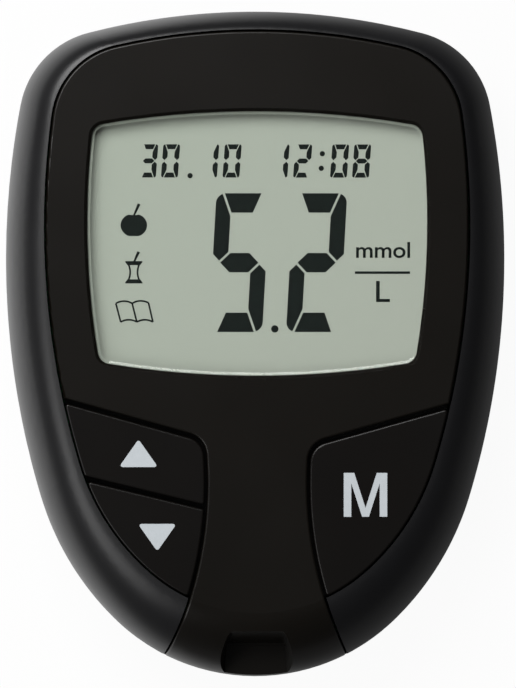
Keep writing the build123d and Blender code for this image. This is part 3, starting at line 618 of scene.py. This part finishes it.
# %% Seven bars
LIT = {
    "0": "ABCDEF",
    "1": "BC",
    "2": "ABGED",
    "3": "ABGCD",
    "5": "AFGCD",
    "8": "ABCDEFG",
}
MITRE = Vector((0.37, 0.93)).normalized()  # along a mitre, from the inner corner outwards
MITRE_INSET = 0.475  # where a mitre's middle line begins, in widths of an upright bar
SPINE_INSET = 0.4  # where the gaps beside the middle bar meet, in the same widths
TRIM = 2.2  # how far an upright bar's point is trimmed back, in half gaps


def bar(letter, width, height, level, upright, gap, rounding):
    """One bar of a digit centred on the origin. Letters run clockwise from the top, G last.
    The gap is half of the gap between two bars."""
    right, top = width / 2, height / 2
    corner = Vector((right - MITRE_INSET * upright, top))
    out = Vector((MITRE.y, -MITRE.x))
    spine = right - SPINE_INSET * upright
    if letter in "AD":
        piece = plate("bar", (-right, right), (top - level, top))
        edge = corner - out * gap
        for side in (-1, 1):
            cut(piece, (side * edge.x, edge.y), (side * out.x, out.y))
    elif letter == "G":
        tip = spine - gap * math.sqrt(2)
        piece = plate("bar", (-tip, tip), (-level / 2, level / 2))
        for side in (-1, 1):
            for half in (-1, 1):
                cut(piece, (side * tip, 0), (side, half))
    else:
        piece = plate("bar", (right - upright, right), (0, top))
        round_corner(piece, (right, top), rounding)
        cut(piece, corner + out * gap, -out)
        cut(piece, (spine + gap * math.sqrt(2), 0), (-1, -1))
        cut(piece, (spine - TRIM * gap, 0), (1, -1))
    if letter in "DCE":
        piece.data.transform(Matrix.Scale(-1, 4, (0, 1, 0)))
    if letter in "EF":
        piece.data.transform(Matrix.Scale(-1, 4, (1, 0, 0)))
    return piece


def digit(sign, middle, width, height, level, upright, gap, rounding, lean):
    """The lit bars of one digit, leaning by an angle."""
    slant = Matrix.Identity(4)
    slant[0][1] = math.tan(math.radians(lean))
    move = Matrix.Translation((middle[0], middle[1], 0))
    bars = [
        bar(letter, width, height, level, upright, gap, rounding) for letter in LIT[sign]
    ]
    for each in bars:
        each.data.transform(move @ slant)
    return bars


def dot(middle, radius):
    """A round dot."""
    deselect()
    bpy.ops.mesh.primitive_circle_add(
        vertices=32,
        radius=radius,
        fill_type="NGON",
        location=(middle[0], middle[1], 0),
    )
    bpy.ops.object.transform_apply(location=True, rotation=True, scale=True)
    return bpy.context.object


print("digits that can be lit:", *LIT)

# %% [markdown]
# ## Ink on the display
#
# A lit bar isn't paint: the liquid crystal turns the light, and the polariser blocks
# it, so the bar is a deep blue-green black with no gloss of its own. It sits on the
# front glass here, under the window.

# %% Ink
def ink_film(name, dark, pale, cloud_mm, roughness, shine):
    """A thin film of one dense colour that is hardly uneven."""
    material, tree, output = blank(name)
    place = add(tree, "ShaderNodeTexCoord").outputs["Object"]
    cloud = add(
        tree,
        "ShaderNodeTexNoise",
        {"Scale": per_metre(cloud_mm)},
        {"Vector": place},
    )
    shade = add(
        tree,
        "ShaderNodeMix",
        {6: linear(dark), 7: linear(pale)},
        {0: cloud.outputs["Fac"]},
        data_type="RGBA",
    )
    skin = add(
        tree,
        "ShaderNodeBsdfPrincipled",
        {"Roughness": roughness, "Specular IOR Level": shine},
        {"Base Color": shade.outputs[2]},
    )
    tree.links.new(skin.outputs["BSDF"], output.inputs["Surface"])
    return material


DISPLAY_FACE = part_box("lcd_glass_front")[1].z
INK_THICKNESS = 0.02  # millimetres
ink = ink_film("darkened_liquid_crystal", "#060f0c", "#0a1411", 1.5, 0.7, 0.1)


def show(piece):
    """Sets lit shapes on the display's front glass."""
    return settle(piece, DISPLAY_FACE, ink, "meter")


print("the display's face is at", round(DISPLAY_FACE / MM, 2), "mm")

# %% [markdown]
# ## The reading, the date and the time
#
# The large reading fills the middle of the display, and the date and time stand in one
# row above it. Both take their sizes from a short table: the width and height of a
# digit, the thickness of its level and upright bars, half of the gap between two bars,
# the rounding of the outer corners and the lean in degrees. The points and the colon
# are round, so they are small discs.

# %% The sizes of the digits
LARGE = {
    "width": 6.1,
    "height": 15.8,
    "level": 2.2,
    "upright": 1.74,
    "gap": 0.125,
    "rounding": 1.12,
    "lean": 3.2,
}
SMALL = {
    "width": 1.92,
    "height": 3.78,
    "level": 0.56,
    "upright": 0.57,
    "gap": 0.05,
    "rounding": 0.26,
    "lean": 4.2,
}
print("digit heights:", LARGE["height"], "and", SMALL["height"], "mm")

# %% The reading
READING = {-2.02: "5", 6.79: "2"}  # the digits by the X of their middles
READING_Y = 9.27
DECIMAL_POINT = (2.02, 1.72)
DECIMAL_POINT_RADIUS = 0.42

lit = [dot(DECIMAL_POINT, DECIMAL_POINT_RADIUS)]
for x, sign in READING.items():
    lit += digit(sign, (x, READING_Y), **LARGE)
show(thicken(join("display_reading", lit), INK_THICKNESS))
print("digits in the reading:", len(READING))

# %% The date and time
CLOCK = {
    -12.35: "3",
    -9.85: "0",
    -5.4: "1",
    -2.84: "0",
    2.62: "1",
    5.2: "2",
    9.41: "0",
    11.92: "8",
}
CLOCK_Y = 20.85
CLOCK_DOTS = ((-7.63, 19.17), (7.44, 21.68), (7.32, 20.02))
CLOCK_DOT_RADIUS = 0.3

lit = [dot(middle, CLOCK_DOT_RADIUS) for middle in CLOCK_DOTS]
for x, sign in CLOCK.items():
    lit += digit(sign, (x, CLOCK_Y), **SMALL)
show(thicken(join("display_date_and_time", lit), INK_THICKNESS))
print("digits in the date and time:", len(CLOCK))

# %% [markdown]
# ## The unit
#
# The unit under the reading is small plain sans-serif lettering, so Blender's own font
# is near enough. The words are made a mesh and stretched to the box that they fill, which
# also settles the width of their strokes.

# %% The unit
def lettering(name, words, x, y, weight):
    """Words as a flat mesh that fills a box. The weight thickens the strokes."""
    deselect()
    bpy.ops.object.text_add()
    piece = bpy.context.object
    piece.data.body = words
    piece.data.offset = weight
    bpy.ops.object.convert(target="MESH")
    piece.name = name
    across = [v.co.x for v in piece.data.vertices]
    along = [v.co.y for v in piece.data.vertices]
    stretch = (
        (x[1] - x[0]) / (max(across) - min(across)),
        (y[1] - y[0]) / (max(along) - min(along)),
    )
    piece.data.transform(
        Matrix.Translation((x[0], y[0], 0))
        @ Matrix.Diagonal((*stretch, 1, 1))
        @ Matrix.Translation((-min(across), -min(along), 0))
    )
    work_on(piece)
    bpy.ops.object.mode_set(mode="EDIT")
    bpy.ops.mesh.select_all(action="SELECT")
    bpy.ops.mesh.remove_doubles(threshold=1e-4)
    bpy.ops.object.mode_set(mode="OBJECT")
    return piece


UNIT_END = 17.45  # where the amount and the line both end on the right
amount = lettering("amount", "mmol", (11.29, UNIT_END), (9.8, 11.62), 0.012)
line = plate("line", (11.16, UNIT_END), (7.99, 8.28))
volume = lettering("volume", "L", (13.57, 15.14), (4.79, 7.18), 0.006)
unit = show(thicken(join("display_unit", [amount, line, volume]), INK_THICKNESS))
print(unit.name, "faces:", len(unit.data.polygons))

# %% [markdown]
# ## The meal and diary signs
#
# Three signs stand in a column left of the reading: a fruit for before a meal, a core
# for after it, and an open book for the diary. Their outlines are thin curved lines. A
# line is an edge as long as the line is wide, spun about the middle of its arc, the way
# a compass draws it. Lines that meet are united, so that no faces are left inside.
#
# The fruit is a round shape with a dimple and a plain stem. Proportional editing makes
# the dimple: one point is pulled down and its neighbours follow less and less.

# %% Curved lines
def arc(start, end, bulge, width):
    """A solid curved line that leaves the straight way by the bulge, to its left side."""
    a, b = Vector((*start, 0)), Vector((*end, 0))
    half = (b - a).length / 2
    left = Vector((a.y - b.y, b.x - a.x, 0)).normalized()
    radius = (half**2 + bulge**2) / (2 * bulge)
    centre = (a + b) / 2 + left * (bulge - radius)
    out = (a - centre).normalized() * width / 2
    piece = plate("line", (0, 1), (0, 1))
    pick(piece, (1, 0.5), 2)
    bpy.ops.mesh.delete(type="VERT")
    bpy.ops.object.mode_set(mode="OBJECT")
    for v, place in zip(piece.data.vertices, (a - out, a + out)):
        v.co = place
    bpy.ops.object.mode_set(mode="EDIT")
    bpy.ops.mesh.select_all(action="SELECT")
    angle = 2 * math.asin(half / radius)
    bpy.ops.mesh.spin(steps=10, angle=angle, center=centre, axis=(0, 0, 1))
    bpy.ops.object.mode_set(mode="OBJECT")
    return thicken(piece, INK_THICKNESS)


def straight(start, end, width, taper=1.0):
    """A solid straight line. The taper makes its end that much wider than its start."""
    a, b = Vector(start), Vector(end)
    length = (b - a).length
    piece = plate("line", (0, length), (-width / 2, width / 2))
    for v in piece.data.vertices:
        v.co.y *= taper if v.co.x > length / 2 else 1.0
    turn = Matrix.Rotation(math.atan2(b.y - a.y, b.x - a.x), 4, "Z")
    piece.data.transform(Matrix.Translation((a.x, a.y, 0)) @ turn)
    return thicken(piece, INK_THICKNESS)


# %% Fruit
SIGN_X = -14.03  # the middle of the column
FRUIT_Y = 13.52
FRUIT_HALF = (1.51, 1.34)
DIMPLES = {14.9: -0.22, 12.1: 0.12}  # how far the outline is pulled at these heights
DIMPLE_REACH = 0.75
STEM = {"width": 0.2, "taper": 1.7}

fruit = dot((SIGN_X, FRUIT_Y), 1.0)
fruit.data.transform(
    Matrix.Translation((SIGN_X, FRUIT_Y, 0))
    @ Matrix.Diagonal((*FRUIT_HALF, 1, 1))
    @ Matrix.Translation((-SIGN_X, -FRUIT_Y, 0))
)
for y, pull in DIMPLES.items():
    pick(fruit, (SIGN_X, y))
    bpy.ops.transform.translate(
        value=(0, pull, 0),
        use_proportional_edit=True,
        proportional_edit_falloff="SMOOTH",
        proportional_size=DIMPLE_REACH,
    )
    bpy.ops.object.mode_set(mode="OBJECT")
stem = straight((SIGN_X - 0.05, 14.5), (SIGN_X + 0.6, 15.95), **STEM)
fruit = show(weld("display_fruit_sign", [thicken(fruit, INK_THICKNESS), stem]))
print(fruit.name, "faces:", len(fruit.data.polygons))

# %% Core
LINE = 0.2  # the width of a drawn line
BULGE = 0.26  # how far a curved line leaves the straight way
CAP_HALF = 0.98
CAP_HEIGHT = 0.46
CAP_EDGE = 0.12  # the height of a cap's upright edge, before it slopes inwards
CAP_SLOPE = 0.75
WAIST_HALF = 0.68  # half the width between the sides, where they meet the caps
WAIST_LOW, WAIST_HIGH = 7.14, 9.2

core = []
for outer, inward in ((9.44, -1), (6.9, 1)):
    inner = outer + inward * CAP_HEIGHT
    cap = plate("cap", (SIGN_X - CAP_HALF, SIGN_X + CAP_HALF), sorted((outer, inner)))
    for side in (-1, 1):
        edge = (SIGN_X + side * CAP_HALF, outer + inward * CAP_EDGE)
        cut(cap, edge, (side, inward * CAP_SLOPE))
    core.append(thicken(cap, INK_THICKNESS))
left, right = SIGN_X - WAIST_HALF, SIGN_X + WAIST_HALF
core.append(arc((left, WAIST_HIGH), (left, WAIST_LOW), BULGE, LINE))
core.append(arc((right, WAIST_LOW), (right, WAIST_HIGH), BULGE, LINE))
core.append(straight((SIGN_X, 9.3), (SIGN_X + 0.55, 10.5), **STEM))
core = show(weld("display_core_sign", core))
print(core.name, "faces:", len(core.data.polygons))

# %% Book
PAGE_TOPS = ((-16.08, 4.62), (-14.22, 4.62), (-12.36, 4.68))
PAGE_FEET = ((-15.52, 2.5), (-13.69, 2.5), (-11.86, 2.5))

book = []
for row in (PAGE_TOPS, PAGE_FEET):
    for near, far in zip(row, row[1:]):
        book.append(arc(near, far, BULGE, LINE))
for top, foot in zip(PAGE_TOPS, PAGE_FEET):
    book.append(straight(top, foot, LINE))
book = show(weld("display_book_sign", book))
print(book.name, "faces:", len(book.data.polygons))

# %% [markdown]
# ## Signs on the keys
#
# The arrows and the letter are pad printed: a soft pad lays down a film of white ink a
# few hundredths of a millimetre thick, dense, slightly matt, with softly rounded
# corners. They ride on their own keys, so they go down with them.

# %% White ink
PRINT_THICKNESS = 0.02  # millimetres
print_ink = ink_film("pad_printed_white_ink", "#c9d0d4", "#d3d9de", 0.6, 0.55, 0.3)


def press_on(piece, key):
    """Sets a printed sign on a key's top."""
    return settle(piece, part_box(f"button_{key}")[1].z, print_ink, f"{key}_key")


print("the white ink is", PRINT_THICKNESS, "mm thick")

# %% Arrows
SPARE = 1  # how far the plate reaches past the triangle, so that its cuts meet cleanly
TIP_ROUNDING = 0.36
FOOT_ROUNDING = 0.48


def arrow(key, middle, half_width, height, pointing):
    """A printed triangle with rounded corners. The middle is that of its level side."""
    x, base = middle
    tip = base + pointing * height
    wide = half_width + SPARE
    far = tip + pointing * SPARE
    piece = plate(f"print_{key}", (x - wide, x + wide), sorted((base, far)))
    for side in (-1, 1):
        cut(piece, (x, tip), (side * height, pointing * half_width))
    round_corner(piece, (x, tip), TIP_ROUNDING)
    for side in (-1, 1):
        round_corner(piece, (x + side * half_width, base), FOOT_ROUNDING)
    return press_on(thicken(piece, PRINT_THICKNESS), key)


arrow("up", (-13.51, -13.98), half_width=2.22, height=3.15, pointing=1)
arrow("down", (-11.38, -20.43), half_width=2.2, height=3.11, pointing=-1)

# %% The memory key's letter
LETTER_LEFT, LETTER_RIGHT = 9.82, 14.77
LETTER_LOW, LETTER_HIGH = -19.64, -14.65
STROKE = 0.86  # the width of an upright
NOTCH = 1.01  # where the slants meet, above the letter's foot
ARMPIT = 1.19  # where a slant leaves its upright, below the letter's top
ACROSS = (3.98, 1.285)  # square to a slant

middle = (LETTER_LEFT + LETTER_RIGHT) / 2
strokes = []
for side, edge in ((-1, LETTER_LEFT), (1, LETTER_RIGHT)):
    inner = edge - side * STROKE
    strokes.append(plate("upright", sorted((edge, inner)), (LETTER_LOW, LETTER_HIGH)))
    slant = plate("slant", sorted((edge, middle)), (LETTER_LOW, LETTER_HIGH))
    cut(slant, (middle, LETTER_LOW + NOTCH), (-side * ACROSS[0], ACROSS[1]))
    cut(slant, (inner, LETTER_HIGH - ARMPIT), (side * ACROSS[0], -ACROSS[1]))
    strokes.append(slant)
letter = weld("print_memory", [thicken(each, PRINT_THICKNESS) for each in strokes])
press_on(letter, "memory")
print(letter.name, "faces:", len(letter.data.polygons))

# %% [markdown]
# ## Snap domes
#
# Under each key a stamped disc of spring steel arches over the board. The key's stem
# snaps it flat, which closes the contact, and the dome throws the key back. Here each
# dome keeps its arch and stays with the meter's body while its key goes down. The shape
# is a thin shell cut from a ball, the way the stamping die is turned.
# One dome is made and copied under each key.

# %% One snap dome
DOME_RADIUS = 3.0
DOME_HEIGHT = 0.6
DOME_SHEET = 0.1
ROOM = 4.0  # half the side of the block that keeps what lies above the board


def ball(radius, top):
    """A ball by its highest point, fine enough for the small part that is left of it."""
    deselect()
    bpy.ops.mesh.primitive_uv_sphere_add(
        segments=48, ring_count=90, radius=radius, location=(0, 0, top - radius)
    )
    bpy.ops.object.transform_apply(location=True, rotation=True, scale=True)
    return bpy.context.object


outer = (DOME_RADIUS**2 + DOME_HEIGHT**2) / (2 * DOME_HEIGHT)
dome = ball(outer, DOME_HEIGHT)
combine(dome, ball(outer - DOME_SHEET, DOME_HEIGHT - DOME_SHEET), "DIFFERENCE")
above_board = thicken(plate("above_board", (-ROOM, ROOM), (-ROOM, ROOM)), 1)
combine(dome, above_board, "INTERSECT")
work_on(dome)
bpy.ops.object.shade_smooth_by_angle(angle=math.radians(30))
print("one dome has", len(dome.data.polygons), "faces")

for key in ("up", "down", "memory"):
    low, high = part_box(f"snap_dome_{key}")
    foot = Vector(((low.x + high.x) / 2, (low.y + high.y) / 2, low.z))
    piece = dome.copy()
    piece.data = dome.data.copy()
    piece.name = f"steel_dome_{key}"
    bpy.context.scene.collection.objects.link(piece)
    piece.data.transform(Matrix.Translation(foot) @ Matrix.Scale(MM, 4))
    piece.data.materials.append(FINISHES["dome_steel"])
    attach(piece, "meter")
    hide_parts(f"snap_dome_{key}")
    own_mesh(piece)
bpy.data.objects.remove(dome)

# %% [markdown]
# ## Floor
#
# Black plastic shows little of its own colour: its shape is read from what it reflects.
# So the room is set like a table for product pictures. The meter lies on a white
# paper sweep, which the camera sees white all over, and which still takes a faint
# shadow. What the meter mirrors is another matter: there the sweep is bright on the left
# and dim on the right, as if a dark card stood there, and so the rounded rim runs from
# pale on one side to nearly black on the other.
#
# The paper's light is dimmed and not its share, because paper that is lit by the lamps
# would otherwise show through in the reflection.

# %% The sweep's light
CARD_MIDDLE = (-0.055, 0.008, 0.0)  # metres, where the sweep is brightest
BRIGHT_WITHIN = 0.047
DIM_BEYOND = 0.088
DIM = 0.12
LIGHT_SHARE = 0.95  # the rest is paper, which takes the shadow

white, white_tree, white_output = blank("white_paper_sweep")
ray = add(white_tree, "ShaderNodeLightPath")
away = add(
    white_tree,
    "ShaderNodeVectorMath",
    {1: CARD_MIDDLE},
    {0: add(white_tree, "ShaderNodeTexCoord").outputs["Object"]},
    operation="DISTANCE",
)
card = add(
    white_tree,
    "ShaderNodeMapRange",
    {"From Min": BRIGHT_WITHIN, "From Max": DIM_BEYOND, "To Min": 1.0, "To Max": DIM},
    {"Value": away.outputs["Value"]},
    interpolation_type="SMOOTHSTEP",
)
brightness = add(
    white_tree,
    "ShaderNodeMath",
    links={0: ray.outputs["Is Camera Ray"], 1: card.outputs["Result"]},
    operation="MAXIMUM",
)
glow = add(
    white_tree,
    "ShaderNodeEmission",
    {"Color": (1, 1, 1, 1)},
    {"Strength": brightness.outputs["Value"]},
)
print("the sweep dims over", round((DIM_BEYOND - BRIGHT_WITHIN) / MM), "mm")

# %% The sweep
FLOOR_SIDE = 4  # metres
FLOOR_HEIGHT = -0.0002  # a hair under the meter's base, so that no two faces coincide

mirrored = add(
    white_tree,
    "ShaderNodeMath",
    links={0: ray.outputs["Is Glossy Ray"], 1: ray.outputs["Is Transmission Ray"]},
    operation="MAXIMUM",
)
seen = add(
    white_tree,
    "ShaderNodeMath",
    links={0: ray.outputs["Is Camera Ray"], 1: mirrored.outputs["Value"]},
    operation="MAXIMUM",
)
share = add(
    white_tree,
    "ShaderNodeMath",
    {1: LIGHT_SHARE},
    {0: seen.outputs["Value"]},
    operation="MULTIPLY",
)
paper = add(white_tree, "ShaderNodeBsdfDiffuse", {"Color": linear("#f4f4f4")})
sweep = add(
    white_tree,
    "ShaderNodeMixShader",
    links={
        0: share.outputs["Value"],
        1: paper.outputs["BSDF"],
        2: glow.outputs["Emission"],
    },
)
white_tree.links.new(sweep.outputs["Shader"], white_output.inputs["Surface"])

deselect()
bpy.ops.mesh.primitive_plane_add(size=FLOOR_SIDE, location=(0, 0, FLOOR_HEIGHT))
floor = bpy.context.object
floor.name = "floor"
floor.data.materials.append(white)
print("floor:", [round(side, 2) for side in floor.dimensions[:2]], "m")

# %% [markdown]
# ## Room
#
# The room follows the same plan: brighter on the left, dim on the right. It stays weak,
# because the flat face mirrors the ceiling and would turn grey. To the camera it is as
# white as the floor.

# %% Room
LEFTWARD = (-0.9, 0.25, -0.35)
ROOM_DIM, ROOM_BRIGHT = 0.06, 0.24

world = bpy.data.worlds.new("studio")
bpy.context.scene.world = world
world.use_nodes = True
world_tree = world.node_tree
world_tree.nodes.clear()
leftward = add(
    world_tree,
    "ShaderNodeVectorMath",
    {1: LEFTWARD},
    {0: add(world_tree, "ShaderNodeTexCoord").outputs["Generated"]},
    operation="DOT_PRODUCT",
)
level = add(
    world_tree,
    "ShaderNodeMapRange",
    {"From Min": -0.4, "From Max": 1.0, "To Min": ROOM_DIM, "To Max": ROOM_BRIGHT},
    {"Value": leftward.outputs["Value"]},
)
room = add(
    world_tree,
    "ShaderNodeBackground",
    {"Color": (1, 1, 1, 1)},
    {"Strength": level.outputs["Result"]},
)
backdrop = add(
    world_tree,
    "ShaderNodeBackground",
    {"Color": (1, 1, 1, 1), "Strength": 1.0},
)
world_mix = add(
    world_tree,
    "ShaderNodeMixShader",
    links={
        0: add(world_tree, "ShaderNodeLightPath").outputs["Is Camera Ray"],
        1: room.outputs["Background"],
        2: backdrop.outputs["Background"],
    },
)
add(world_tree, "ShaderNodeOutputWorld", links={"Surface": world_mix.outputs["Shader"]})
print("the room's light runs from", ROOM_DIM, "to", ROOM_BRIGHT)

# %% [markdown]
# ## Lamps
#
# The main lamp stands beyond the upper left of the meter and a weaker one beyond the
# lower left. Both are large and high: large for soft edges, high so that the window's
# frame throws only a thin shade on the display. They stand just low enough for the flat
# face not to mirror them.

# %% Lamps
def lamp(name, bearing, height, distance, side, power):
    """A square soft lamp that faces the meter. The bearing turns from +X towards +Y, and
    the height is an angle too."""
    light = bpy.data.lights.new(name, "AREA")
    light.shape = "SQUARE"
    light.size = side
    light.energy = power
    holder = bpy.data.objects.new(name, light)
    bpy.context.scene.collection.objects.link(holder)
    turn, lift = math.radians(bearing), math.radians(height)
    flat = distance * math.cos(lift)
    holder.location = (flat * math.cos(turn), flat * math.sin(turn), distance * math.sin(lift))
    holder.rotation_euler = (-holder.location).to_track_quat("-Z", "Y").to_euler()
    print(name, "at", [round(part, 2) for part in holder.location], "m")
    return holder


lamp("key_lamp", bearing=120, height=54, distance=0.5, side=0.3, power=2.1)
lamp("fill_lamp", bearing=-150, height=47, distance=0.6, side=0.3, power=0.8)

# %% [markdown]
# ## Camera
#
# The meter is seen from almost straight above, by a long lens far away, so that its
# sides hardly show and its outline keeps its true proportions. The camera leans a
# little to the left. A shifted sensor, and not a turned camera, puts the meter a little
# to the left in the picture.

# %% Camera
TILT = math.radians(1.5)  # the camera stands a little to the left of straight above
LENS = 0.3
SENSOR = 0.036
PLANE_HEIGHT = 0.0096  # where the outline is widest
FRAME_HEIGHT = 0.0793  # what the picture's height covers there
DISTANCE = FRAME_HEIGHT * LENS / SENSOR
PICTURE_HEIGHT = 688  # the picture is 516 points wide and this high
PICTURE_MIDDLE = 258
METER_MIDDLE = 255.25  # the column of the picture that the meter is centred on

camera_data = bpy.data.cameras.new("camera")
camera_data.lens = LENS / MM
camera_data.sensor_width = SENSOR / MM
camera_data.clip_start = 0.05
camera_data.shift_x = (PICTURE_MIDDLE - METER_MIDDLE) / PICTURE_HEIGHT
camera = bpy.data.objects.new("camera", camera_data)
bpy.context.scene.collection.objects.link(camera)
camera.location = (
    -DISTANCE * math.sin(TILT),
    0,
    PLANE_HEIGHT + DISTANCE * math.cos(TILT),
)
camera.rotation_euler = (0, -TILT, 0)
bpy.context.scene.camera = camera
bpy.context.scene.view_settings.view_transform = "Standard"
print("camera distance:", round(DISTANCE, 3), "m")
